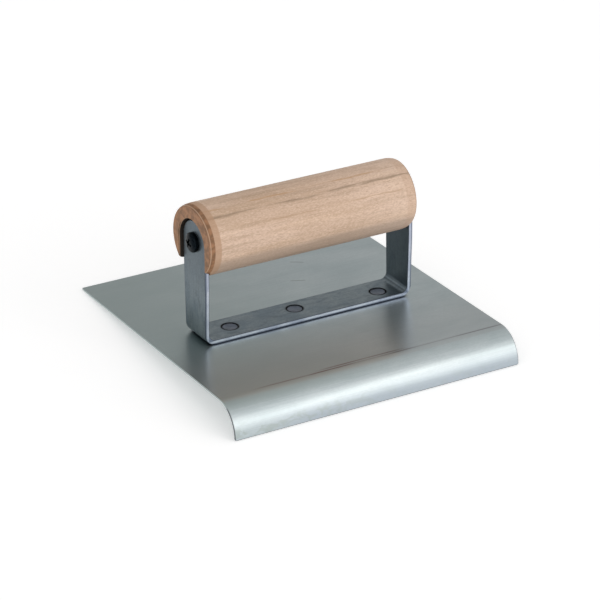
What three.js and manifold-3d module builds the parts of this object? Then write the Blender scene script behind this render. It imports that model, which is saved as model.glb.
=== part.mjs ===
// Concrete edger: a hand tool that rounds and smooths the edge of a fresh slab.
//
// A square sheet-steel blade is bent down along its front edge into a rounded lip. A flat steel
// strap, bent into a U, is spot welded to its upper face. The strap's two round-topped ears sit
// in slots cut into the ends of a turned wooden handle, and a wood screw goes through each ear.
//
// Units are millimetres. +X runs along the lip and the handle, +Y points from the lip towards the
// blade's back edge, and +Z points up. The origin is the middle of the blade's flat underside.

import * as THREE from 'three';
import { mergeVertices } from 'three/addons/utils/BufferGeometryUtils.js';
import Module from 'manifold-3d';

const manifold = await Module();
manifold.setup();

// ---------------------------------------------------------------- driving dimensions

const BLADE = {
  length: 152.4,            // along the lip
  depth: 152.4,             // from the front of the lip to the back edge
  thickness: 0.9,
  lipInnerRadius: 13.6,
  lipTurn: THREE.MathUtils.degToRad(85),
  lipRun: 1.8,              // straight metal below the bend
  bendSteps: 24,
};

const STRAP = {
  width: 19.2,
  thickness: 2.2,
  outerLength: 112.6,       // from one ear's outer face to the other's
  bendInnerRadius: 3.3,
  bendSteps: 8,
  forward: 2.5,             // the strap's middle lies this far in front of the blade's middle
  sideways: 0.3,            // and this far to its right
  earRadius: 10.3,          // each ear ends in a half circle, a little wider than the strap
  flareBottom: 8,           // the strap widens to the ear between these heights above the blade
  flareTop: 30,
  earSteps: 40,
  screwHeight: 49.7,        // the screws' axis above the blade, and the middle of each half circle
  screwHoleRadius: 2.6,
};

const HANDLE = {
  radius: 17.4,
  length: 112.2,
  shift: -1.5,              // the dowel's middle, measured along X from the strap's middle
  axisHeight: 50.5,         // above the blade
  endRoundLength: 5,        // how far from its end the dowel begins to round off
  endRoundDrop: 1.3,        // how much smaller the end face's radius is
  endSteps: 6,
  leftEndSlope: 0.05,       // how far the left end is cut out of square
  sides: 72,
  slotRadius: 11.4,
  slotRunOut: 4,            // how far the slot's cutter reaches past the dowel's end
  pilotRadius: 2.5,
  pilotDepth: 26,
};

const SCREW = {
  headRadius: 4.8,
  headHeight: 3.1,
  headEdgeHeight: 1.5,      // the head's straight side, below its dome
  domeSteps: 6,
  shankRadius: 1.5,
  threadRadius: 2.1,
  threadPitch: 1.8,
  threadTurns: 11,
  rootStart: 0.25,          // each turn's root and crest, as shares of the pitch
  rootEnd: 0.6,
  crest: 0.9,
  neckLength: 2.6,
  tipLength: 3,
  crossWidth: 1.1,
  crossLength: 5.2,
  crossDepth: 1.5,
  sides: 32,
};

const WELD = {
  radius: 3.8,
  gap: 0.45,                // the ring of air round each weld
  sunk: 0.15,               // the weld's face lies this far below the strap's face
  sides: 40,
  // Each weld's place on the strap: along it from its middle, and across it from its centre line.
  places: {
    spot_weld_left: { along: -38, across: 0.1 },
    spot_weld_middle: { along: -1.9, across: 1.7 },
    spot_weld_right: { along: 42.2, across: -2 },
  },
};

// ---------------------------------------------------------------- sizes that follow from them

const lipOuterRadius = BLADE.lipInnerRadius + BLADE.thickness;
const lipReach = lipOuterRadius * Math.sin(BLADE.lipTurn) + BLADE.lipRun * Math.cos(BLADE.lipTurn);
const flatDepth = BLADE.depth - lipReach;
const backY = flatDepth / 2;
const bendY = -flatDepth / 2;
const bladeTop = BLADE.thickness;

const strapY = backY - BLADE.depth / 2 - STRAP.forward;
const earOuterX = STRAP.outerLength / 2;
const earInnerX = earOuterX - STRAP.thickness;
const screwZ = bladeTop + STRAP.screwHeight;
const axisZ = bladeTop + HANDLE.axisHeight;
const slotLength = HANDLE.length / 2 + Math.abs(HANDLE.shift) - earInnerX + HANDLE.slotRunOut;
const rightThrough = 2 * STRAP.outerLength;     // long enough for a cutter to pass through anything

// ---------------------------------------------------------------- materials

const brushedSteel = new THREE.MeshStandardMaterial({ color: 0x9aa1a2, metalness: 1, roughness: 0.35 });
const darkSteel = new THREE.MeshStandardMaterial({ color: 0x69737a, metalness: 1, roughness: 0.45 });
const weldedSteel = new THREE.MeshStandardMaterial({ color: 0x6f7278, metalness: 1, roughness: 0.5 });
const paleWood = new THREE.MeshStandardMaterial({ color: 0xcbab8f, metalness: 0, roughness: 0.6 });
const blackSteel = new THREE.MeshStandardMaterial({ color: 0x17181a, metalness: 0.6, roughness: 0.45 });

// ---------------------------------------------------------------- helpers

// Turns a three.js geometry into a closed manifold-3d solid.
function solidFrom(geometry) {
  const bare = geometry.index ? geometry.toNonIndexed() : geometry.clone();
  bare.deleteAttribute('normal');
  bare.deleteAttribute('uv');
  const merged = mergeVertices(bare, 1e-4);
  const mesh = new manifold.Mesh({
    numProp: 3,
    vertProperties: Float32Array.from(merged.attributes.position.array),
    triVerts: Uint32Array.from(merged.index.array),
  });
  mesh.merge();
  return new manifold.Manifold(mesh);
}

// Turns a manifold-3d solid back into a three.js geometry.
function geometryFrom(solid) {
  const mesh = solid.getMesh();
  const geometry = new THREE.BufferGeometry();
  geometry.setAttribute('position', new THREE.BufferAttribute(mesh.vertProperties, 3));
  geometry.setIndex(new THREE.BufferAttribute(mesh.triVerts, 1));
  geometry.computeVertexNormals();
  return geometry;
}

function named(name, geometry, material) {
  const mesh = new THREE.Mesh(geometry, material);
  mesh.name = name;
  return mesh;
}

// Extrudes an outline drawn in the Y-Z plane along +X, centred on X = 0.
function extrudeAlongX(shape, length) {
  const geometry = new THREE.ExtrudeGeometry(shape, { depth: length, bevelEnabled: false });
  geometry.translate(0, 0, -length / 2);
  const toYZ = new THREE.Matrix4().makeBasis(
    new THREE.Vector3(0, 1, 0), new THREE.Vector3(0, 0, 1), new THREE.Vector3(1, 0, 0));
  return geometry.applyMatrix4(toYZ);
}

// Turns an outline of (radius, along) points round the X axis.
function turnAboutX(points, sides) {
  const geometry = new THREE.LatheGeometry(points, sides);
  return geometry.rotateZ(-Math.PI / 2);
}

// Points along an arc of a plane outline, between two angles in radians.
function arcPoints(centreX, centreY, radius, from, to, steps) {
  const points = [];
  for (let i = 0; i <= steps; i++) {
    const angle = from + (to - from) * i / steps;
    points.push(new THREE.Vector2(centreX + radius * Math.cos(angle), centreY + radius * Math.sin(angle)));
  }
  return points;
}

// A tongue with a half-round top, drawn in the Y-Z plane and extruded along X. Its two sides are
// alike, and each passes through the given points of (half width, height) from the top down.
function tongue(radius, centreZ, side, length) {
  const top = arcPoints(0, centreZ, radius, 0, Math.PI, STRAP.earSteps);
  const back = side.map(([halfWidth, height]) => new THREE.Vector2(-halfWidth, height));
  const front = side.map(([halfWidth, height]) => new THREE.Vector2(halfWidth, height)).reverse();
  return extrudeAlongX(new THREE.Shape([...top, ...back, ...front]), length);
}

// A round rod along X, for cutting a hole.
function rodAlongX(radius, length) {
  return new THREE.CylinderGeometry(radius, radius, length, SCREW.sides).rotateZ(Math.PI / 2);
}

// ---------------------------------------------------------------- blade

// The sheet's edge-on outline: flat from the back edge to the bend, round the bend and down.
function bladeGeometry() {
  const top = Math.PI / 2;
  const centreZ = bladeTop - lipOuterRadius;
  const endAngle = top + BLADE.lipTurn;
  const run = new THREE.Vector2(-Math.sin(endAngle), Math.cos(endAngle)).multiplyScalar(BLADE.lipRun);
  const outer = arcPoints(bendY, centreZ, lipOuterRadius, top, endAngle, BLADE.bendSteps);
  const inner = arcPoints(bendY, centreZ, BLADE.lipInnerRadius, endAngle, top, BLADE.bendSteps);
  const outline = [
    new THREE.Vector2(backY, bladeTop),
    ...outer,
    outer[outer.length - 1].clone().add(run),
    inner[0].clone().add(run),
    ...inner,
    new THREE.Vector2(backY, 0),
  ];
  return extrudeAlongX(new THREE.Shape(outline), BLADE.length);
}

// ---------------------------------------------------------------- bracket

// The strap's outline seen along Y: a U with round bends, as tall as the ears.
function strapOutline() {
  const earTop = screwZ + STRAP.earRadius;
  const outerRadius = STRAP.bendInnerRadius + STRAP.thickness;
  const bendX = earOuterX - outerRadius;
  const bendZ = bladeTop + outerRadius;
  const half = Math.PI / 2;
  const points = [
    new THREE.Vector2(-earOuterX, earTop),
    ...arcPoints(-bendX, bendZ, outerRadius, 2 * half, 3 * half, STRAP.bendSteps),
    ...arcPoints(bendX, bendZ, outerRadius, 3 * half, 4 * half, STRAP.bendSteps),
    new THREE.Vector2(earOuterX, earTop),
    new THREE.Vector2(earInnerX, earTop),
    ...arcPoints(bendX, bendZ, STRAP.bendInnerRadius, 4 * half, 3 * half, STRAP.bendSteps),
    ...arcPoints(-bendX, bendZ, STRAP.bendInnerRadius, 3 * half, 2 * half, STRAP.bendSteps),
    new THREE.Vector2(-earInnerX, earTop),
  ];
  return new THREE.Shape(points);
}

function weldHole(place) {
  const radius = WELD.radius + WELD.gap;
  const hole = new THREE.CylinderGeometry(radius, radius, rightThrough, WELD.sides);
  hole.rotateX(Math.PI / 2);
  hole.translate(place.along, place.across, bladeTop);
  return solidFrom(hole);
}

// The bent strap is made wider than it is and then trimmed to its width and to the ears' shape.
function bracketGeometry() {
  const blank = new THREE.ExtrudeGeometry(strapOutline(), { depth: STRAP.outerLength, bevelEnabled: false });
  blank.translate(0, 0, -STRAP.outerLength / 2);
  // The outline is drawn in X and Z, so the extrusion is turned to run along Y.
  blank.rotateX(Math.PI / 2);

  const ears = tongue(STRAP.earRadius, screwZ, [
    [STRAP.earRadius, bladeTop + STRAP.flareTop],
    [STRAP.width / 2, bladeTop + STRAP.flareBottom],
    [STRAP.width / 2, 0],
  ], rightThrough);
  const screwHoles = rodAlongX(STRAP.screwHoleRadius, rightThrough).translate(0, 0, screwZ);

  let solid = solidFrom(blank).intersect(solidFrom(ears)).subtract(solidFrom(screwHoles));
  for (const place of Object.values(WELD.places)) {
    solid = solid.subtract(weldHole(place));
  }
  return geometryFrom(solid);
}

// ---------------------------------------------------------------- handle

// A quarter of an ellipse rounds each end of the dowel down to its flat end face.
function handleOutline() {
  const halfLength = HANDLE.length / 2;
  const faceRadius = HANDLE.radius - HANDLE.endRoundDrop;
  const roundedEnd = [];
  for (let i = 0; i <= HANDLE.endSteps; i++) {
    const angle = (Math.PI / 2) * (1 - i / HANDLE.endSteps);
    roundedEnd.push(new THREE.Vector2(
      faceRadius + HANDLE.endRoundDrop * Math.sin(angle),
      halfLength - HANDLE.endRoundLength * (1 - Math.cos(angle))));
  }
  roundedEnd.push(new THREE.Vector2(0, halfLength));
  const otherEnd = roundedEnd.map((point) => new THREE.Vector2(point.x, -point.y)).reverse();
  return [...otherEnd, ...roundedEnd];
}

// Cuts the dowel's left end out of square, so that its back stands further left than its front.
function slopeLeftEnd(dowel) {
  const points = dowel.attributes.position;
  for (let i = 0; i < points.count; i++) {
    if (points.getX(i) < 0) {
      points.setX(i, points.getX(i) - HANDLE.leftEndSlope * points.getY(i));
    }
  }
}

// The slots and the pilot holes are centred on the screws, a little below the dowel's axis.
function handleGeometry() {
  const dowel = turnAboutX(handleOutline(), HANDLE.sides);
  slopeLeftEnd(dowel);
  dowel.translate(HANDLE.shift, 0, axisZ);
  const slot = tongue(HANDLE.slotRadius, screwZ, [[HANDLE.slotRadius, 0]], slotLength);
  const pilot = rodAlongX(HANDLE.pilotRadius, 2 * HANDLE.pilotDepth).translate(0, 0, screwZ);
  let solid = solidFrom(dowel);
  for (const side of [-1, 1]) {
    const slotHere = slot.clone().translate(side * (earInnerX + slotLength / 2), 0, 0);
    const pilotHere = pilot.clone().translate(side * earInnerX, 0, 0);
    solid = solid.subtract(solidFrom(slotHere)).subtract(solidFrom(pilotHere));
  }
  return geometryFrom(solid);
}

// ---------------------------------------------------------------- screws

// A pan-head wood screw lying along X: the head's flat underside is at X = 0 and the shank
// points towards +X.
function screwGeometry() {
  const outline = [new THREE.Vector2(0, -SCREW.headHeight)];
  const dome = SCREW.headHeight - SCREW.headEdgeHeight;
  for (let i = 1; i <= SCREW.domeSteps; i++) {
    const angle = (Math.PI / 2) * i / SCREW.domeSteps;
    outline.push(new THREE.Vector2(
      SCREW.headRadius * Math.sin(angle), -SCREW.headEdgeHeight - dome * Math.cos(angle)));
  }
  outline.push(new THREE.Vector2(SCREW.headRadius, 0));
  outline.push(new THREE.Vector2(SCREW.threadRadius, 0));
  outline.push(new THREE.Vector2(SCREW.threadRadius, SCREW.neckLength));
  for (let turn = 0; turn < SCREW.threadTurns; turn++) {
    const start = SCREW.neckLength + turn * SCREW.threadPitch;
    outline.push(new THREE.Vector2(SCREW.shankRadius, start + SCREW.rootStart * SCREW.threadPitch));
    outline.push(new THREE.Vector2(SCREW.shankRadius, start + SCREW.rootEnd * SCREW.threadPitch));
    outline.push(new THREE.Vector2(SCREW.threadRadius, start + SCREW.crest * SCREW.threadPitch));
  }
  const threadEnd = SCREW.neckLength + SCREW.threadTurns * SCREW.threadPitch;
  outline.push(new THREE.Vector2(SCREW.shankRadius, threadEnd));
  outline.push(new THREE.Vector2(0, threadEnd + SCREW.tipLength));

  let solid = solidFrom(turnAboutX(outline, SCREW.sides));
  for (const quarterTurn of [0, 1]) {
    const arm = new THREE.BoxGeometry(2 * SCREW.crossDepth, SCREW.crossWidth, SCREW.crossLength);
    arm.rotateX(quarterTurn * Math.PI / 2);
    arm.translate(-SCREW.headHeight, 0, 0);
    solid = solid.subtract(solidFrom(arm));
  }
  return geometryFrom(solid);
}

// ---------------------------------------------------------------- spot welds

function spotWeldGeometry() {
  const height = STRAP.thickness - WELD.sunk;
  const weld = new THREE.CylinderGeometry(WELD.radius, WELD.radius, height, WELD.sides);
  weld.rotateX(Math.PI / 2);
  return geometryFrom(solidFrom(weld));
}

// ---------------------------------------------------------------- assembly

const edger = new THREE.Group();
edger.add(named('blade', bladeGeometry(), brushedSteel));

// Everything that the strap carries is placed together, on the strap's own middle.
const carried = new THREE.Group();
carried.position.set(STRAP.sideways, strapY, 0);
carried.add(named('bracket', bracketGeometry(), darkSteel));
carried.add(named('handle', handleGeometry(), paleWood));

for (const [name, side] of [['screw_left', -1], ['screw_right', 1]]) {
  const screw = named(name, screwGeometry(), blackSteel);
  screw.position.set(side * earOuterX, 0, screwZ);
  screw.rotation.z = side < 0 ? 0 : Math.PI;
  carried.add(screw);
}

for (const [name, place] of Object.entries(WELD.places)) {
  const weld = named(name, spotWeldGeometry(), weldedSteel);
  weld.position.set(place.along, place.across, bladeTop + (STRAP.thickness - WELD.sunk) / 2);
  carried.add(weld);
}
edger.add(carried);

export default edger;
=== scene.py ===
"""Concrete edger: a sheet-steel blade with a rounded lip, a bent strap and a wooden handle.

Everything is in metres, in the frame of the CAD model: +X along the lip and the handle, +Y from the
lip towards the back edge, +Z up, with the blade's flat underside at Z = 0.
"""
from math import atan2, cos, pi, radians, sin, tau

import bmesh
import bpy
from mathutils import Matrix, Vector


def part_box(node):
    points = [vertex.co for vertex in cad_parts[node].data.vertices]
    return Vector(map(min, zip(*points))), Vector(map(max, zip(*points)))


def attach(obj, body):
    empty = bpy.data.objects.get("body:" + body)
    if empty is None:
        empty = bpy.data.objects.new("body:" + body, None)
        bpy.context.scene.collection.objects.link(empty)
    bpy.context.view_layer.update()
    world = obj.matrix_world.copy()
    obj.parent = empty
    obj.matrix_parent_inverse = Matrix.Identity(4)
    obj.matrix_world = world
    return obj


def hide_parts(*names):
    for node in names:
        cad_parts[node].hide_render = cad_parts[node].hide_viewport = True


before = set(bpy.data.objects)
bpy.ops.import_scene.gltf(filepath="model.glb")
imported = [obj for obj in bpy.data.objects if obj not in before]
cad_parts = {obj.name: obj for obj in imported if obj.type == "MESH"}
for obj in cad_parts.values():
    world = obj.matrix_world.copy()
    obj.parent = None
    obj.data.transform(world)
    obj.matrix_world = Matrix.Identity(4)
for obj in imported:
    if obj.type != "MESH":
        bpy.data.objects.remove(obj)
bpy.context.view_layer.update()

MM = 0.001
QUARTER = pi / 2
X_AXIS = Vector((1, 0, 0))
Z_AXIS = Vector((0, 0, 1))

# ---------------------------------------------------------------- fineness of the meshes

# Points this near each other are one point.
SAME_POINT = 0.0001 * MM
# Faces thinner than this are what cutting leaves behind, and are taken out.
SLIVER = 0.001 * MM
# An edge that turns through more than this stays crisp.
SHARP_ANGLE = radians(40)
ROUND_SIDES = 72
CORNER_STEPS = 24
EDGE_STEPS = 6

# ---------------------------------------------------------------- driving dimensions

BLADE_EDGE_RADIUS = 0.2 * MM
BLADE_CORNER_RADIUS = 0.8 * MM
LIP_INNER_RADIUS = 13.6 * MM
LIP_TURN = radians(85)
LIP_STEPS = 64

STRAP_WIDTH = 19.2 * MM
STRAP_THICKNESS = 2.2 * MM
STRAP_EDGE_RADIUS = 0.32 * MM
# The uprights widen to the ears between these heights above the strap's underside.
STRAP_FLARE_BOTTOM = 8 * MM
STRAP_FLARE_TOP = 30 * MM
STRAP_BEND_INNER_RADIUS = 3.3 * MM
STRAP_BEND_STEPS = 20
STRAP_HOLE_RADIUS = 2.6 * MM

WELD_GAP = 0.4 * MM
WELD_RIM = 0.6 * MM
WELD_DISH = 0.14 * MM
WELD_CENTRE_DEPTH = 0.196 * MM
WELD_RIM_STEPS = 10

HANDLE_END_ROUND = 5 * MM
HANDLE_END_DROP = 1.3 * MM
HANDLE_END_STEPS = 16
HANDLE_SIDES = 192
# The left end is cut out of square: it stands this much further out for each unit to the back.
HANDLE_LEFT_SLOPE = 0.05
SLOT_RADIUS = 11.4 * MM
SLOT_FLARE = 0.2 * MM
SLOT_RUN_OUT = 5 * MM
PILOT_RADIUS = 2.5 * MM
PILOT_DEPTH = 26 * MM

SCREW_HEAD_RADIUS = 4.8 * MM
SCREW_HEAD_HEIGHT = 3.1 * MM
SCREW_EDGE_HEIGHT = 1.2 * MM
SCREW_ROOT_RADIUS = 1.5 * MM
SCREW_THREAD_HEIGHT = 0.6 * MM
SCREW_PITCH = 1.8 * MM
SCREW_NECK = 2.6 * MM
SCREW_TIP = 3 * MM
SCREW_SIDES = 64
SCREW_ROUNDING_STEPS = 20
SCREW_STEPS_PER_TURN = 14
SCREW_RIDGE_STEEPNESS = 2.2
SCREW_LEFT_SPIN = radians(20)
SCREW_RIGHT_SPIN = radians(65)
CROSS_LENGTH = 5.4 * MM
CROSS_WIDTH = 1.3 * MM
CROSS_DEPTH = 1.7 * MM
CROSS_RUN_OUT = 0.68 * MM
CROSS_MOUTH_SCALE = 1.15
CROSS_FLOOR_SCALE = 0.45

# Dark lines that the bending left: how far behind the bend each lies, and its two ends in X.
BEND_LINES = (
    (0, -62 * MM, 90 * MM),
    (1.7 * MM, -27 * MM, 26 * MM),
)

# Fine scratches on the blade behind the strap, each from one point to another.
SCRATCHES = (
    ((25.5 * MM, 44 * MM), (32 * MM, 39.8 * MM)),
    ((14.5 * MM, 24.5 * MM), (22 * MM, 21 * MM)),
)

# The wood's growth rings lie in planes that lean this far forward from upright. Each has its
# distance from the dowel's axis, its width and its colour.
RING_TILT = radians(37)
RINGS = (
    (0, 1.3 * MM, (0.26, 0.18, 0.115, 1)),
    (4.8 * MM, 0.9 * MM, (0.50, 0.29, 0.15, 1)),
    (-6.5 * MM, 0.7 * MM, (0.46, 0.30, 0.19, 1)),
)

# The colour of the scale that welding burns onto steel.
BURNT_STEEL = (0.022, 0.026, 0.030, 1)

# ---------------------------------------------------------------- sizes read from the frame

blade_low, blade_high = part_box("blade")
strap_low, strap_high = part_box("bracket")
handle_low, handle_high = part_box("handle")
screw_low, screw_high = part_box("screw_right")

sheet = blade_high.z
lip_middle_radius = LIP_INNER_RADIUS + sheet / 2
lip_drop = LIP_INNER_RADIUS * (1 - cos(LIP_TURN))
lip_run = (-blade_low.z - lip_drop) / sin(LIP_TURN)
lip_reach = (LIP_INNER_RADIUS + sheet) * sin(LIP_TURN) + lip_run * cos(LIP_TURN)
bend_y = blade_low.y + lip_reach
lip_tip_y = bend_y - LIP_INNER_RADIUS * sin(LIP_TURN) - lip_run * cos(LIP_TURN)

strap_x = (strap_low.x + strap_high.x) / 2
strap_y = (strap_low.y + strap_high.y) / 2
ear_radius = (strap_high.y - strap_low.y) / 2
ear_outer = strap_high.x - strap_x
ear_inner = ear_outer - STRAP_THICKNESS

screw_z = (screw_low.z + screw_high.z) / 2
axis_z = (handle_low.z + handle_high.z) / 2
handle_radius = (handle_high.z - handle_low.z) / 2
face_radius = handle_radius - HANDLE_END_DROP
handle_left = handle_low.x + HANDLE_LEFT_SLOPE * face_radius
handle_middle = (handle_left + handle_high.x) / 2


def weld_places():
    """The name, the centre and the radius of each spot weld."""
    for name in ("spot_weld_left", "spot_weld_middle", "spot_weld_right"):
        low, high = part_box(name)
        yield name, (low + high) / 2, (high.x - low.x) / 2


# ---------------------------------------------------------------- mesh helpers


def mesh_from(build, name):
    """The mesh that a function builds in an empty bmesh, its faces turned outwards."""
    work = bmesh.new()
    build(work)
    bmesh.ops.remove_doubles(work, verts=work.verts, dist=SAME_POINT)
    bmesh.ops.recalc_face_normals(work, faces=work.faces)
    data = bpy.data.meshes.new(name)
    work.to_mesh(data)
    work.free()
    return data


def cut_away(data, cutters):
    """A new mesh: the given one less the cutters, without the slivers that cutting leaves."""
    body = bpy.data.objects.new("body_being_cut", data)
    bpy.context.scene.collection.objects.link(body)
    tools = []
    for cutter in cutters:
        tool = bpy.data.objects.new("cutter", cutter)
        bpy.context.scene.collection.objects.link(tool)
        cut = body.modifiers.new("cut", "BOOLEAN")
        cut.operation = "DIFFERENCE"
        cut.solver = "EXACT"
        cut.object = tool
        tools.append(tool)
    bpy.context.view_layer.update()
    finished = body.evaluated_get(bpy.context.evaluated_depsgraph_get())
    result = bpy.data.meshes.new_from_object(finished)
    for spent in [body, *tools]:
        bpy.data.objects.remove(spent)
    work = bmesh.new()
    work.from_mesh(result)
    bmesh.ops.triangulate(work, faces=work.faces)
    bmesh.ops.dissolve_degenerate(work, dist=SLIVER, edges=work.edges)
    work.to_mesh(result)
    work.free()
    return result


def add_piece(data, name, node, material):
    """Shows a mesh as the piece of the object that stands for one CAD node."""
    piece = bpy.data.objects.new(name, data)
    bpy.context.scene.collection.objects.link(piece)
    data.materials.clear()
    data.materials.append(material)
    for face in data.polygons:
        face.use_smooth = True
    data.set_sharp_from_angle(angle=SHARP_ANGLE)
    weighted = piece.modifiers.new("flat faces stay flat", "WEIGHTED_NORMAL")
    weighted.keep_sharp = True
    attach(piece, "root")
    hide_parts(node)
    return piece


def spread(start, end, steps):
    """Evenly spaced values from start to end, both included."""
    return [start + (end - start) * i / steps for i in range(steps + 1)]


def wrap_rings(work, rings):
    """Joins closed rings of vertices, each to the next."""
    for ring, following in zip(rings, rings[1:]):
        for i in range(len(ring)):
            work.faces.new((ring[i - 1], ring[i], following[i], following[i - 1]))


def join_rings(work, rings):
    """Joins closed rings of vertices, each to the next, and caps the first and the last."""
    wrap_rings(work, rings)
    work.faces.new(rings[0])
    work.faces.new(rings[-1])


def turned(outline, sides, radius_at=None):
    """Turns an outline of (along, radius) points round the X axis, and closes its two ends.

    radius_at(along, radius, angle) may change the radius.
    """
    def build(work):
        rings = []
        for along, radius in outline:
            ring = []
            for i in range(sides):
                angle = tau * i / sides
                size = radius_at(along, radius, angle) if radius_at else radius
                ring.append(work.verts.new((along, size * cos(angle), size * sin(angle))))
            rings.append(ring)
        join_rings(work, rings)
    return build


def rod(centre, axis, radius, length):
    """A plain rod for cutting a round hole."""
    data = mesh_from(turned([(-length / 2, radius), (length / 2, radius)], ROUND_SIDES), "rod")
    turn = X_AXIS.rotation_difference(axis).to_matrix().to_4x4()
    data.transform(Matrix.Translation(centre) @ turn)
    return data


def folded(start, heading, runs):
    """Follows the middle line of a folded strip, drawn in a plane.

    Each run is its length and how far it turns. The result gives the point and the direction at
    a distance from the start.
    """
    def at(distance):
        point = Vector(start)
        facing = heading
        for length, turn in runs:
            share = min(distance, length)
            swing = turn * share / length
            chord = 2 * length / turn * sin(swing / 2) if turn else share
            point += chord * Vector((cos(facing + swing / 2), sin(facing + swing / 2)))
            facing += swing
            distance -= share
        return point, facing
    return at


def bent_sheet(line, stations, corner_radius, half_thickness, edge_radius, place):
    """Makes a flat strip with rounded corners and edges, and folds it along a line.

    stations are the places along the strip that have a pair of vertices, each a distance and a
    half width, from the end of the first pair of rounded corners to the start of the last.
    place(point, across) gives the place in space of a point of the line's plane.
    """
    corner_middle = stations[0][1] - corner_radius

    def outline(inset):
        """The strip's edge, moved in: one side, an end, the other side and the other end."""
        radius = corner_radius - inset
        points = []
        for side, run in ((1, stations), (-1, stations[::-1])):
            points += [(along, side * (half_width - inset)) for along, half_width in run]
            end = run[-1][0]
            for corner, begin in ((1, 0), (-1, QUARTER)):
                for turn in spread(begin, begin + QUARTER, CORNER_STEPS):
                    points.append((end + side * radius * sin(turn),
                                   side * (corner * corner_middle + radius * cos(turn))))
        return points

    def folded_point(along, across, through):
        point, facing = line(along)
        normal = Vector((-sin(facing), cos(facing)))
        return place(point + through * normal, across)

    def build(work):
        below = [(edge_radius * (1 - sin(turn)), edge_radius * (1 - cos(turn)) - half_thickness)
                 for turn in spread(0, QUARTER, EDGE_STEPS)]
        above = [(inset, -through) for inset, through in reversed(below)]
        rings = []
        for inset, through in below + above:
            rings.append([work.verts.new(folded_point(along, across, through))
                          for along, across in outline(inset)])
        wrap_rings(work, rings)
        count = len(stations)
        half = len(rings[0]) // 2
        for ring in (rings[0], rings[-1]):
            right = ring[:count]
            left = ring[half:half + count][::-1]
            for i in range(count - 1):
                work.faces.new((right[i], right[i + 1], left[i + 1], left[i]))
            work.faces.new([right[-1], *ring[count:half], left[-1]])
            work.faces.new([left[0], *ring[half + count:], right[0]])
    return build


# ---------------------------------------------------------------- material helpers


class Look:
    """A procedural material being built round one Principled shader."""

    def __init__(self, name, sockets):
        self.material = bpy.data.materials.new(name)
        self.material.use_nodes = True
        self.tree = self.material.node_tree
        self.shader = self.tree.nodes["Principled BSDF"]
        for socket, value in sockets.items():
            self.shader.inputs[socket].default_value = value
        self.coordinates = self.tree.nodes.new("ShaderNodeTexCoord").outputs
        self.here = self.coordinates["Object"]
        self.x, self.y, self.z = self.split(self.here)

    def add(self, kind, inputs, **settings):
        """Adds a node, with its settings and with links or values for its inputs."""
        made = self.tree.nodes.new("ShaderNode" + kind)
        for setting, value in settings.items():
            setattr(made, setting, value)
        for socket, value in inputs.items():
            if isinstance(value, bpy.types.NodeSocket):
                self.tree.links.new(value, made.inputs[socket])
            else:
                made.inputs[socket].default_value = value
        return made

    def link(self, socket, value):
        """Feeds a value to one of the shader's inputs."""
        self.tree.links.new(value, self.shader.inputs[socket])

    def split(self, vector):
        return self.add("SeparateXYZ", {0: vector}).outputs

    def math(self, operation, a, b=0.0):
        return self.add("Math", {0: a, 1: b}, operation=operation).outputs[0]

    def product(self, first, *others):
        for other in others:
            first = self.math("MULTIPLY", first, other)
        return first

    def apart(self, a, b):
        """How far apart two values are."""
        return self.math("ABSOLUTE", self.math("SUBTRACT", a, b))

    def remap(self, value, low, high, to_low=0.0, to_high=1.0):
        """Turns low..high smoothly into to_low..to_high, and holds the ends."""
        inputs = {"Value": value, "From Min": low, "From Max": high,
                  "To Min": to_low, "To Max": to_high}
        return self.add("MapRange", inputs, interpolation_type="SMOOTHSTEP").outputs[0]

    def noise(self, cells, detail=2.0, distortion=0.0, offset=0.0):
        """Noise whose cells have these sizes along X, Y and Z, in millimetres.

        Another offset gives another pattern.
        """
        scale = [1 / (size * MM) for size in cells]
        inputs = {"Vector": self.here, "Scale": scale, "Location": (offset, offset, offset)}
        spot = self.add("Mapping", inputs).outputs[0]
        inputs = {"Vector": spot, "Scale": 1.0, "Detail": detail, "Distortion": distortion}
        return self.add("TexNoise", inputs).outputs[0]

    def mix(self, factor, a, b):
        """The colour a where the factor is 0, and b where it is 1."""
        return self.add("Mix", {0: factor, 6: a, 7: b}, data_type="RGBA").outputs[2]

    def stroke(self, start, end, width):
        """How near a point is to a straight stroke across the XY plane, from 0 to 1."""
        run = Vector(end) - Vector(start)
        heading = run.normalized()
        east = self.math("SUBTRACT", self.x, start[0])
        north = self.math("SUBTRACT", self.y, start[1])
        along = self.math("ADD", self.product(east, heading.x), self.product(north, heading.y))
        across = self.apart(self.product(north, heading.x), self.product(east, heading.y))
        beside = self.remap(across, 0.3 * width, width, 1.0, 0.0)
        half = run.length / 2
        within = self.remap(self.apart(along, half), 0.7 * half, half, 1.0, 0.0)
        return self.product(beside, within)

    def from_welds(self):
        """The distance, seen from above, to the middle of the nearest spot weld."""
        flat = self.add("CombineXYZ", {0: self.x, 1: self.y}).outputs[0]
        nearest = 1.0
        for _, centre, _ in weld_places():
            spot = (centre.x, centre.y, 0)
            away = self.add("VectorMath", {0: flat, 1: spot}, operation="DISTANCE").outputs["Value"]
            nearest = self.math("MINIMUM", away, nearest)
        return nearest

    def bump(self, height, depth, below=None):
        """Roughens the surface by up to this depth, on top of an earlier bump."""
        inputs = {"Height": height, "Distance": depth, "Strength": 1.0}
        if below:
            inputs["Normal"] = below
        return self.add("Bump", inputs).outputs[0]


def grey(level):
    """An opaque grey."""
    return (level, level, level, 1.0)


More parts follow.
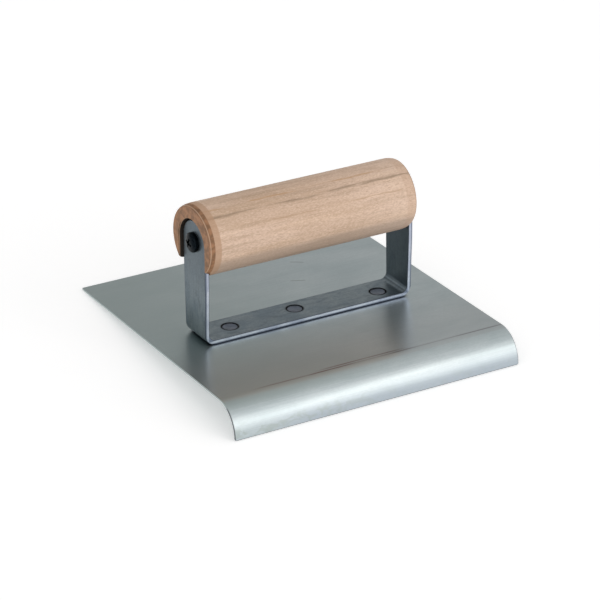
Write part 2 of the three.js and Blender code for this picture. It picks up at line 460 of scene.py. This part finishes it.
def brushed_steel():
    """Sheet steel, brushed along X, with heat-tinted lines at the bend and a few scratches, and with
    painted shade, a painted shadow and a painted reflection.
    """
    look = Look("brushed_steel", {
        "Metallic": 1.0, "Anisotropic": 0.7, "Anisotropic Rotation": 0.25})
    across_grain = look.add("CombineXYZ", {0: 1.0}).outputs[0]
    look.link("Tangent", across_grain)

    broad = look.noise((90, 1.6, 1.6), detail=3)
    fine = look.noise((30, 0.35, 0.35), detail=2, offset=3)
    cloud = look.noise((26, 15, 15), detail=4, distortion=0.3, offset=7)
    speck = look.noise((1.6, 0.7, 0.7), detail=3, offset=11)
    on_flat = look.remap(look.z, -3 * MM, 0.0)
    steel = look.mix(look.remap(cloud, 0.3, 0.7), (0.468, 0.540, 0.550, 1), (0.550, 0.612, 0.620, 1))
    brushed = look.remap(on_flat, 0.0, 1.0, 1.0, 0.45)
    broad_lines = look.product(look.remap(broad, 0.35, 0.65, 0.0, 0.28), brushed)
    steel = look.mix(broad_lines, steel, (0.42, 0.465, 0.49, 1))
    fine_lines = look.product(look.remap(fine, 0.4, 0.6, 0.0, 0.3), brushed)
    steel = look.mix(fine_lines, steel, (0.66, 0.71, 0.72, 1))
    steel = look.mix(look.remap(speck, 0.35, 0.65, 0.0, 0.16), steel, (0.38, 0.43, 0.44, 1))

    # The flat is painted a little darker towards its left end as painted shade, and a warm grey is
    # painted in front of the strap as a painted reflection of the handle. These, the painted shadow
    # along the strap, the tinted lines and the scratches are on the sheet's upper face only.
    painted_shade_leftward = look.product(on_flat, look.remap(look.x, 40 * MM, blade_low.x, 0.0, 0.75))
    steel = look.mix(painted_shade_leftward, steel, (0.365, 0.430, 0.420, 1))
    on_top = look.remap(look.z, 0.35 * sheet, 0.65 * sheet)
    painted_handle_reflection = look.remap(look.y, strap_low.y + 6 * MM, bend_y + 14 * MM, 0.0, 0.3)
    steel = look.mix(look.product(painted_handle_reflection, on_top), steel, (0.44, 0.435, 0.425, 1))

    # A dark painted contact shadow lies along the foot of the strap, where it meets the blade.
    from_foot = look.math("SUBTRACT", look.apart(look.x, strap_x), ear_outer - 5 * MM)
    beyond_x = look.math("MAXIMUM", from_foot, 0.0)
    from_side = look.math("SUBTRACT", look.apart(look.y, strap_y), STRAP_WIDTH / 2)
    beyond_y = look.math("MAXIMUM", from_side, 0.0)
    from_strap = look.math("ADD", beyond_y, look.product(beyond_x, 0.4))
    painted_contact_shadow = look.remap(from_strap, 0.4 * MM, 1.7 * MM, 0.85, 0.0)
    steel = look.mix(look.product(painted_contact_shadow, on_top), steel, (0.085, 0.095, 0.125, 1))

    # Low down, the lip is painted bluer and darker as painted shade, but for its left end, and stained
    # in patches, mostly at the left.
    painted_shade_low_lip = look.product(look.remap(look.z, -5 * MM, -12 * MM, 0.0, 0.75),
                          look.remap(look.x, -70 * MM, -30 * MM, 0.2, 1.0))
    steel = look.mix(painted_shade_low_lip, steel, (0.40, 0.455, 0.51, 1))
    stain = look.noise((7, 4, 4), detail=4, distortion=0.8, offset=13)
    low_down = look.product(look.remap(look.z, -5 * MM, -11 * MM),
                            look.remap(look.x, 20 * MM, -40 * MM, 0.25, 1.0))
    stained = look.product(low_down, look.remap(stain, 0.48, 0.62, 0.0, 0.5))
    steel = look.mix(stained, steel, (0.36, 0.41, 0.38, 1))

    # Broken lines run along the bend, brown at the left and grey at the right.
    broken = look.remap(look.noise((22, 4, 4), detail=2, offset=5), 0.38, 0.6, 0.4, 0.95)
    rightward = look.remap(look.x, -20 * MM, 45 * MM)
    line_tint = look.mix(rightward, (0.235, 0.165, 0.16, 1), (0.27, 0.27, 0.28, 1))
    for behind, left_end, right_end in BEND_LINES:
        from_line = look.apart(look.y, bend_y + behind)
        from_centre = look.apart(look.x, (left_end + right_end) / 2)
        half = (right_end - left_end) / 2
        beside = look.remap(from_line, 0.15 * MM, 0.7 * MM, 1.0, 0.0)
        within = look.remap(from_centre, half - 12 * MM, half, 1.0, 0.0)
        steel = look.mix(look.product(beside, within, on_top, broken), steel, line_tint)

    for start, end in SCRATCHES:
        scratch = look.product(look.stroke(start, end, 0.45 * MM), on_top)
        steel = look.mix(scratch, steel, (0.30, 0.33, 0.33, 1))

    # The sheared ends of the lip and its lower edge are dark.
    from_end = look.math("SUBTRACT", blade_high.x, look.math("ABSOLUTE", look.x))
    sheared = look.product(look.remap(from_end, 0.15 * MM, 0.45 * MM, 1.0, 0.0),
                           look.remap(look.z, -0.3 * MM, -2 * MM))
    rim = look.remap(look.z, blade_low.z + 0.5 * MM, blade_low.z + 0.15 * MM)
    steel = look.mix(look.math("MAXIMUM", sheared, rim), steel, (0.15, 0.165, 0.175, 1))
    look.link("Base Color", steel)

    on_lip = look.math("SUBTRACT", 1.0, on_flat)
    streaked = look.product(look.remap(fine, 0.35, 0.65, -0.04, 0.04), on_lip)
    rough = look.math("ADD", look.remap(broad, 0.3, 0.7, 0.32, 0.345), streaked)
    look.link("Roughness", rough)
    grooves = look.bump(fine, 0.0015 * MM)
    look.link("Normal", look.bump(broad, 0.003 * MM, grooves))
    return look.material


def strap_steel():
    """Hot-rolled strip: dark and slightly blue, bright where it was sheared, burnt by the welds, with
    painted shade up the ears, inside the right bend and on the rounded edges.
    """
    look = Look("strap_steel", {"Metallic": 1.0})
    patches = look.noise((12, 8, 12), detail=4, distortion=0.4)
    streaks = look.noise((14, 1.3, 14), detail=3, offset=5)
    grain = look.noise((0.9, 0.9, 0.9), detail=3, offset=2)
    steel = look.mix(look.remap(patches, 0.3, 0.7), (0.190, 0.242, 0.278, 1), (0.275, 0.325, 0.345, 1))
    steel = look.mix(look.remap(streaks, 0.45, 0.7, 0.0, 0.4), steel, (0.145, 0.175, 0.20, 1))
    steel = look.mix(look.remap(grain, 0.3, 0.7, 0.0, 0.2), steel, (0.15, 0.175, 0.195, 1))

    # The strip is painted darker up the ears as painted shade, and smudged all over.
    painted_shade_up_ears = look.remap(look.z, 6 * MM, 48 * MM, 0.0, 0.85)
    steel = look.mix(painted_shade_up_ears, steel, (0.095, 0.120, 0.138, 1))
    smudges = look.noise((9, 4, 9), detail=4, distortion=1.0, offset=8)
    steel = look.mix(look.remap(smudges, 0.53, 0.68, 0.0, 0.4), steel, (0.10, 0.125, 0.145, 1))

    # The right bend and ear get painted shade on their inner side, but for a line along the bend that
    # is left bright as a painted highlight.
    past_bend = look.remap(look.x, 46 * MM, 51 * MM)
    above_base = look.remap(look.z, strap_low.z + STRAP_THICKNESS, strap_low.z + 3 * MM, 0.0, 0.6)
    from_line = look.apart(look.z, strap_low.z + 3.5 * MM)
    off_painted_highlight = look.remap(from_line, 0.1 * MM, 0.5 * MM, 0.2, 1.0)
    inside = look.remap(look.x, strap_high.x - 0.6 * MM, strap_high.x - 0.3 * MM, 1.0, 0.0)
    painted_shade_inside_right = look.product(past_bend, above_base, off_painted_highlight, inside)
    steel = look.mix(painted_shade_inside_right, steel, (0.045, 0.060, 0.072, 1))

    # The strip's rounded long edges are painted dark by which way they face, as painted shade. Its
    # sheared sides are bright only at mid thickness.
    facing = look.split(look.coordinates["Normal"])
    sideways = look.math("ABSOLUTE", facing["Y"])
    steel = look.mix(look.remap(sideways, 0.08, 0.35, 0.0, 0.85), steel, (0.05, 0.06, 0.075, 1))
    from_outside = look.math("SUBTRACT", ear_outer, look.apart(look.x, strap_x))
    from_sole = look.math("SUBTRACT", look.z, strap_low.z)
    through = look.math("MINIMUM", from_outside, from_sole)
    torn = look.remap(look.apart(through, 0.6 * STRAP_THICKNESS), 0.25 * MM, 0.8 * MM)
    sheared = look.mix(look.remap(patches, 0.38, 0.62), (0.44, 0.48, 0.58, 1), (0.64, 0.68, 0.76, 1))
    cut_face = look.mix(torn, sheared, (0.20, 0.23, 0.30, 1))
    steel = look.mix(look.remap(sideways, 0.9, 0.98), steel, cut_face)

    burnt = look.remap(look.from_welds(), 4.1 * MM, 5.0 * MM, 0.92, 0.0)
    steel = look.mix(burnt, steel, BURNT_STEEL)
    look.link("Base Color", steel)
    look.link("Roughness", look.remap(grain, 0.3, 0.7, 0.34, 0.44))
    look.link("Normal", look.bump(grain, 0.006 * MM))
    return look.material


def weld_steel():
    """The face of a spot weld: heat-darkened, with a nearly black ring."""
    look = Look("weld_steel", {"Metallic": 1.0})
    patches = look.noise((2.2, 2.2, 2.2), detail=3, offset=4)
    steel = look.mix(look.remap(patches, 0.3, 0.7), (0.115, 0.138, 0.172, 1), (0.185, 0.210, 0.260, 1))
    burnt = look.remap(look.from_welds(), 3.2 * MM, 3.75 * MM, 0.0, 0.92)
    steel = look.mix(burnt, steel, BURNT_STEEL)
    look.link("Base Color", steel)
    look.link("Roughness", look.remap(patches, 0.3, 0.7, 0.34, 0.46))
    look.link("Normal", look.bump(patches, 0.02 * MM))
    return look.material


def black_oxide():
    """A blackened screw."""
    look = Look("black_oxide", {"Metallic": 1.0})
    specks = look.noise((0.5, 0.5, 0.5), detail=3)
    steel = look.mix(look.remap(specks, 0.35, 0.65), (0.003, 0.005, 0.007, 1), (0.010, 0.014, 0.018, 1))
    look.link("Base Color", steel)
    look.link("Roughness", look.remap(specks, 0.3, 0.7, 0.32, 0.46))
    look.link("Normal", look.bump(specks, 0.008 * MM))
    return look.material


def maple():
    """Pale sanded maple with its grain along X, browned on the rounded ends, with painted light to the
    right, painted shade below and at the left end, and a black painted shadow in the slots.
    """
    look = Look("maple", {"Specular IOR Level": 0.35})
    soft = look.noise((70, 8, 8), detail=3, distortion=0.6)
    streaks = look.noise((34, 1.7, 1.7), detail=4, distortion=0.4, offset=9)
    flecks = look.noise((2.0, 0.5, 0.5), detail=3, offset=1)
    pores = look.noise((1.2, 0.42, 0.42), detail=2, offset=6)
    wood = look.mix(look.remap(soft, 0.3, 0.7), (0.575, 0.400, 0.275, 1), (0.700, 0.510, 0.390, 1))
    # Painted light: the wood is painted lighter towards its right end.
    wood = look.mix(look.remap(look.x, 0.0, handle_high.x, 0.0, 0.5), wood, (0.80, 0.60, 0.47, 1))
    wood = look.mix(look.remap(streaks, 0.52, 0.70, 0.0, 0.5), wood, (0.45, 0.315, 0.215, 1))
    wood = look.mix(look.remap(streaks, 0.46, 0.30, 0.0, 0.5), wood, (0.78, 0.57, 0.42, 1))
    wood = look.mix(look.remap(flecks, 0.52, 0.70, 0.0, 0.5), wood, (0.47, 0.315, 0.21, 1))
    wood = look.mix(look.remap(pores, 0.46, 0.66, 0.0, 0.36), wood, (0.46, 0.305, 0.215, 1))
    wood = look.mix(look.remap(pores, 0.48, 0.32, 0.0, 0.3), wood, (0.84, 0.66, 0.53, 1))

    # The dowel is painted darker low down, below a wavy edge, as painted shade on its underside.
    across_y = look.math("SUBTRACT", look.y, strap_y)
    across_z = look.math("SUBTRACT", look.z, axis_z)
    sway = look.remap(soft, 0.3, 0.7, -0.8 * MM, 0.8 * MM)
    low_down = look.remap(look.math("ADD", across_z, sway), -4.4 * MM, -7.4 * MM, 0.0, 0.52)
    wood = look.mix(low_down, wood, (0.365, 0.277, 0.220, 1))

    # Growth rings cross the dowel as slanted planes, one of them dark and two of them brown.
    tilted = look.math("ADD", look.product(across_y, cos(RING_TILT)),
                       look.product(across_z, sin(RING_TILT)))
    wander = look.remap(look.noise((24, 40, 40), detail=2, offset=17), 0.2, 0.8, -0.9 * MM, 0.9 * MM)
    tilted = look.math("ADD", tilted, wander)
    broken = look.remap(look.noise((14, 1.2, 1.2), detail=3, offset=21), 0.41, 0.60, 0.0, 0.68)
    for place, width, tint in RINGS:
        away = look.apart(tilted, place)
        ring = look.product(look.remap(away, 0.0, width, 1.0, 0.0), broken)
        wood = look.mix(ring, wood, tint)

    # The rounded ends, above all the left one: a brown band, then end grain, with a painted highlight
    # line at the rim of the face. End grain is the wood's own darker colour; the band, stronger at the
    # left end, and the wider end grain there are painted shade as well.
    at_left = look.remap(look.x, 10 * MM, -10 * MM)
    leaning = look.product(at_left, HANDLE_LEFT_SLOPE, across_y)
    squared_x = look.math("ADD", look.x, leaning)
    from_middle = look.apart(squared_x, handle_middle)
    from_end = look.math("SUBTRACT", handle_high.x - handle_middle, from_middle)
    band_end = HANDLE_END_ROUND + 0.7 * MM
    band = look.remap(from_end, band_end + 0.2 * MM, band_end - 0.4 * MM, 0.0, 0.72)
    band = look.product(band, look.remap(at_left, 0.0, 1.0, 0.3, 1.0))
    wood = look.mix(band, wood, (0.465, 0.280, 0.172, 1))
    mottle = look.remap(look.noise((3, 3, 3), detail=3, distortion=0.5, offset=2), 0.35, 0.65)
    end_grain = look.mix(mottle, (0.215, 0.113, 0.058, 1), (0.360, 0.182, 0.092, 1))
    beyond_line = look.math("ADD", from_end, look.remap(at_left, 0.0, 1.0, 1.7 * MM, 0.0))
    on_end = look.remap(beyond_line, 2.6 * MM, 2.2 * MM)
    wood = look.mix(on_end, wood, end_grain)
    painted_highlight_rim = look.remap(look.apart(from_end, 0.45 * MM), 0.08 * MM, 0.3 * MM, 0.55, 0.0)
    wood = look.mix(painted_highlight_rim, wood, (0.60, 0.42, 0.30, 1))

    # Painted shadow on the slot's walls: everything nearer the screw's axis than the slot's edge, and
    # all below it, is painted nearly black.
    above = look.math("MAXIMUM", look.math("SUBTRACT", look.z, screw_z), 0.0)
    reach = look.math("SQRT", look.math("ADD", look.math("POWER", above, 2.0),
                                        look.math("POWER", across_y, 2.0)))
    within_edge = look.remap(reach, SLOT_RADIUS + 0.3 * MM, SLOT_RADIUS + 0.1 * MM)
    below_face = look.remap(from_end, 0.4 * MM, 0.9 * MM)
    from_centre = look.apart(look.x, strap_x)
    above_bed = look.remap(from_centre, ear_inner - 0.1 * MM, ear_inner - 0.05 * MM)
    painted_shadow_in_slot = look.product(within_edge, below_face, above_bed)
    wood = look.mix(painted_shadow_in_slot, wood, (0.030, 0.022, 0.017, 1))
    look.link("Base Color", wood)
    look.link("Roughness", look.remap(flecks, 0.3, 0.7, 0.5, 0.62))
    grain = look.bump(flecks, 0.03 * MM)
    look.link("Normal", look.bump(pores, 0.02 * MM, grain))
    return look.material


# ---------------------------------------------------------------- blade


def make_blade(material):
    """The sheet, folded down along its front edge."""
    flat = blade_high.y - bend_y
    arc = lip_middle_radius * LIP_TURN
    length = flat + arc + lip_run
    line = folded((-blade_high.y, sheet / 2), 0,
                  [(flat, 0), (arc, -LIP_TURN), (lip_run, 0)])
    places = [BLADE_CORNER_RADIUS, *spread(flat, flat + arc, LIP_STEPS), length - BLADE_CORNER_RADIUS]
    stations = [(along, blade_high.x) for along in places]
    build = bent_sheet(line, stations, BLADE_CORNER_RADIUS, sheet / 2, BLADE_EDGE_RADIUS,
                       place=lambda point, across: (across, -point.x, point.y))
    return add_piece(mesh_from(build, "blade_mesh"), "edger_blade", "blade", material)


# ---------------------------------------------------------------- bracket and welds


def make_bracket(material):
    """The strap: two round-topped ears folded up from a base, with screw and weld holes."""
    half = STRAP_THICKNESS / 2
    bend_outer = STRAP_BEND_INNER_RADIUS + STRAP_THICKNESS
    ear = strap_high.z - strap_low.z - bend_outer
    arc = (STRAP_BEND_INNER_RADIUS + half) * QUARTER
    base = 2 * (ear_outer - bend_outer)
    length = 2 * (ear + arc) + base
    line = folded((strap_low.x + half, strap_high.z), -QUARTER,
                  [(ear, 0), (arc, QUARTER), (base, 0), (arc, QUARTER), (ear, 0)])
    top = strap_high.z - strap_low.z
    half_ear = [(ear_radius, ear_radius), (top - STRAP_FLARE_TOP, ear_radius)]
    half_ear += [(along, STRAP_WIDTH / 2)
                 for along in (top - STRAP_FLARE_BOTTOM, *spread(ear, ear + arc, STRAP_BEND_STEPS))]
    stations = half_ear + [(length - along, half_width) for along, half_width in reversed(half_ear)]
    build = bent_sheet(line, stations, ear_radius, half, STRAP_EDGE_RADIUS,
                       place=lambda point, across: (point.x, strap_y + across, point.y))
    right_across = 4 * ear_outer
    right_through = 4 * STRAP_THICKNESS
    holes = [rod((0, strap_y, screw_z), X_AXIS, STRAP_HOLE_RADIUS, right_across)]
    for _, centre, radius in weld_places():
        holes.append(rod(centre, Z_AXIS, radius + WELD_GAP, right_through))
    data = cut_away(mesh_from(build, "strap_mesh"), holes)
    return add_piece(data, "steel_strap", "bracket", material)


def make_weld(name, centre, radius, material):
    """A round slug with a raised rim round a shallow dish."""
    low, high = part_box(name)
    height = high.z - low.z
    outline = [(0, 0), (0, radius - WELD_RIM / 2), (WELD_RIM / 2, radius)]
    outline.append((height - WELD_DISH - WELD_RIM / 2, radius))
    for turn in spread(0, pi, WELD_RIM_STEPS)[1:]:
        outline.append((height - WELD_DISH + WELD_DISH * sin(turn), radius - WELD_RIM * turn / pi))
    outline.append((height - WELD_CENTRE_DEPTH, 0))
    data = mesh_from(turned(outline, ROUND_SIDES), name + "_mesh")
    data.transform(Matrix.Translation((centre.x, centre.y, low.z)) @ Matrix.Rotation(-QUARTER, 4, "Y"))
    return add_piece(data, "weld" + name.removeprefix("spot_weld"), name, material)


# ---------------------------------------------------------------- handle


def slot_cutter(side):
    """A round-topped tongue that widens where it leaves the handle's end face."""
    end = handle_high.x if side > 0 else handle_left
    sections = [(strap_x + side * ear_inner, 0), (end - side * SLOT_FLARE, 0), (end, SLOT_FLARE),
                (end + side * SLOT_RUN_OUT, SLOT_FLARE)]

    def build(work):
        rings = []
        for along, extra in sections:
            radius = SLOT_RADIUS + extra
            outline = [(radius * cos(turn), radius * sin(turn)) for turn in spread(0, pi, ROUND_SIDES)]
            outline += [(-radius, -2 * handle_radius), (radius, -2 * handle_radius)]
            rings.append([work.verts.new((along, strap_y + y, screw_z + z)) for y, z in outline])
        join_rings(work, rings)
    return mesh_from(build, "slot")


def make_handle(material):
    """The dowel, with rounded ends, a slot for each ear and a pilot hole for each screw."""
    rounding = []
    for turn in spread(0, QUARTER, HANDLE_END_STEPS):
        rounding.append((HANDLE_END_ROUND * (1 - sin(turn)), face_radius + HANDLE_END_DROP * cos(turn)))
    rounding.reverse()
    outline = [(handle_left + along, radius) for along, radius in rounding]
    outline += [(handle_high.x - along, radius) for along, radius in reversed(rounding)]
    data = mesh_from(turned(outline, HANDLE_SIDES), "dowel_mesh")
    for point in data.vertices:
        if point.co.x < handle_middle:
            point.co.x -= HANDLE_LEFT_SLOPE * point.co.y
    data.transform(Matrix.Translation((0, strap_y, axis_z)))
    cutters = []
    for side in (-1, 1):
        slot_bed = (strap_x + side * ear_inner, strap_y, screw_z)
        cutters.append(slot_cutter(side))
        cutters.append(rod(slot_bed, X_AXIS, PILOT_RADIUS, 2 * PILOT_DEPTH))
    return add_piece(cut_away(data, cutters), "wooden_handle", "handle", material)


# ---------------------------------------------------------------- screws


def cross_cutter():
    """The tapered cross of a screwdriver recess, pointing along +X."""
    def build(work):
        rings = []
        for along, size in ((-CROSS_RUN_OUT, CROSS_MOUTH_SCALE), (CROSS_DEPTH, CROSS_FLOOR_SCALE)):
            tip = size * CROSS_LENGTH / 2
            half = size * CROSS_WIDTH / 2
            ring = []
            for quarter in range(4):
                spin = Matrix.Rotation(quarter * QUARTER, 2)
                for corner in ((tip, -half), (tip, half), (half, half)):
                    y, z = spin @ Vector(corner)
                    ring.append(work.verts.new((along, y, z)))
            rings.append(ring)
        join_rings(work, rings)
    return mesh_from(build, "cross")


def screw_mesh(name):
    """A pan-head wood screw along X, its head's flat underside at X = 0 and its tip at +X."""
    thread_end = strap_high.x - screw_low.x - SCREW_TIP
    dome = SCREW_HEAD_HEIGHT - SCREW_EDGE_HEIGHT
    outline = [(-SCREW_EDGE_HEIGHT - dome * cos(turn), SCREW_HEAD_RADIUS * sin(turn))
               for turn in spread(0, QUARTER, SCREW_ROUNDING_STEPS)]
    outline += [(0, SCREW_HEAD_RADIUS), (0, SCREW_ROOT_RADIUS + SCREW_THREAD_HEIGHT)]
    outline.append((SCREW_NECK, SCREW_ROOT_RADIUS + SCREW_THREAD_HEIGHT))
    steps = round((thread_end - SCREW_NECK) / SCREW_PITCH * SCREW_STEPS_PER_TURN)
    outline += [(along, SCREW_ROOT_RADIUS) for along in spread(SCREW_NECK, thread_end, steps)[1:]]
    outline += [(thread_end + SCREW_TIP * share, SCREW_ROOT_RADIUS * (1 - share))
                for share in spread(0, 1, SCREW_ROUNDING_STEPS)[1:]]

    def radius_at(along, radius, angle):
        """Adds the thread, a ridge that winds round the shank and fades out at the tip."""
        if along <= SCREW_NECK:
            return radius
        turns = along / SCREW_PITCH - angle / tau
        ridge = max(0, 1 - abs(2 * (turns % 1) - 1) * SCREW_RIDGE_STEEPNESS)
        return radius + ridge * SCREW_THREAD_HEIGHT * radius / SCREW_ROOT_RADIUS

    data = mesh_from(turned(outline, SCREW_SIDES, radius_at), name + "_mesh")
    cutter = cross_cutter()
    cutter.transform(Matrix.Translation((-SCREW_HEAD_HEIGHT, 0, 0)))
    return cut_away(data, [cutter])


def make_screw(name, side, spin, material):
    """One screw, its head on the outer face of an ear."""
    data = screw_mesh(name)
    turn = Matrix.Rotation(0 if side < 0 else pi, 4, "Z") @ Matrix.Rotation(spin, 4, "X")
    data.transform(Matrix.Translation((strap_x + side * ear_outer, strap_y, screw_z)) @ turn)
    return add_piece(data, "handle_" + name, name, material)


# ---------------------------------------------------------------- studio


def make_floor():
    """A pale floor that the lip's lower edge and the blade's back edge both touch."""
    size = 6
    slope = atan2(-blade_low.z, blade_high.y - lip_tip_y)

    def build(work):
        bmesh.ops.create_grid(work, x_segments=1, y_segments=1, size=size / 2)
    floor = bpy.data.objects.new("floor", mesh_from(build, "floor_mesh"))
    bpy.context.scene.collection.objects.link(floor)
    floor.matrix_world = Matrix.Translation((0, blade_high.y, 0)) @ Matrix.Rotation(slope, 4, "X")
    look = Look("floor_white", {
        "Base Color": (0.9, 0.9, 0.9, 1), "Roughness": 0.9, "Emission Color": (1, 1, 1, 1),
        "Emission Strength": 0.33})
    floor.data.materials.append(look.material)


def make_world():
    """A white tent, brightest in front of the object and dimmer behind it."""
    in_front = grey(1.0)
    overhead = grey(0.70)
    behind = grey(0.44)
    world = bpy.data.worlds.new("studio")
    world.use_nodes = True
    bpy.context.scene.world = world
    nodes = world.node_tree.nodes
    links = world.node_tree.links
    direction = nodes.new("ShaderNodeTexCoord").outputs["Generated"]
    split = nodes.new("ShaderNodeSeparateXYZ")
    forward = nodes.new("ShaderNodeMapRange")
    forward.inputs["From Min"].default_value = 1.0
    forward.inputs["From Max"].default_value = -1.0
    tent = nodes.new("ShaderNodeValToRGB")
    tent.color_ramp.elements[0].color = behind
    tent.color_ramp.elements[1].color = in_front
    tent.color_ramp.elements.new(0.5).color = overhead
    links.new(direction, split.inputs[0])
    links.new(split.outputs["Y"], forward.inputs["Value"])
    links.new(forward.outputs[0], tent.inputs[0])
    links.new(tent.outputs[0], nodes["Background"].inputs["Color"])


def make_key_light():
    """One large soft light, low in front and to the right."""
    distance = 1.7
    size = 1.0
    radiance = 1.38
    warm_white = (1.0, 0.955, 0.935)
    direction = Vector((0.459, -0.759, 0.375)).normalized()
    light = bpy.data.lights.new("key_light", "AREA")
    light.shape = "DISK"
    light.size = size
    light.energy = radiance * pi * pi * (size / 2) ** 2
    light.color = warm_white
    lamp = bpy.data.objects.new("key_light", light)
    lamp.location = distance * direction
    lamp.rotation_mode = "QUATERNION"
    lamp.rotation_quaternion = direction.to_track_quat("Z", "Y")
    bpy.context.scene.collection.objects.link(lamp)


def make_camera():
    """A long lens looking at the middle of the blade from the left front."""
    azimuth = radians(-30.253)
    elevation = radians(25.01)
    roll = radians(-0.181)
    distance = 1.3986
    target = Vector((7.756 * MM, 2.838 * MM, sheet))
    back = Vector((sin(azimuth) * cos(elevation), -cos(azimuth) * cos(elevation), sin(elevation)))
    right = Vector((cos(azimuth), sin(azimuth), 0))
    up = back.cross(right)
    upright = Matrix((right, up, back)).transposed()
    data = bpy.data.cameras.new("camera")
    data.sensor_width = 36
    data.lens = 174.7
    data.clip_start = 0.05
    data.clip_end = 50
    camera = bpy.data.objects.new("camera", data)
    camera.matrix_world = (Matrix.Translation(target + distance * back)
                           @ (upright @ Matrix.Rotation(roll, 3, "Z")).to_4x4())
    bpy.context.scene.collection.objects.link(camera)
    bpy.context.scene.camera = camera
    bpy.context.scene.view_settings.view_transform = "Standard"


# ---------------------------------------------------------------- assembly

make_blade(brushed_steel())
make_bracket(strap_steel())
make_handle(maple())
weld_look = weld_steel()
for weld_name, weld_centre, weld_radius in weld_places():
    make_weld(weld_name, weld_centre, weld_radius, weld_look)
screw_look = black_oxide()
make_screw("screw_left", -1, SCREW_LEFT_SPIN, screw_look)
make_screw("screw_right", 1, SCREW_RIGHT_SPIN, screw_look)

make_floor()
make_world()
make_key_light()
make_camera()
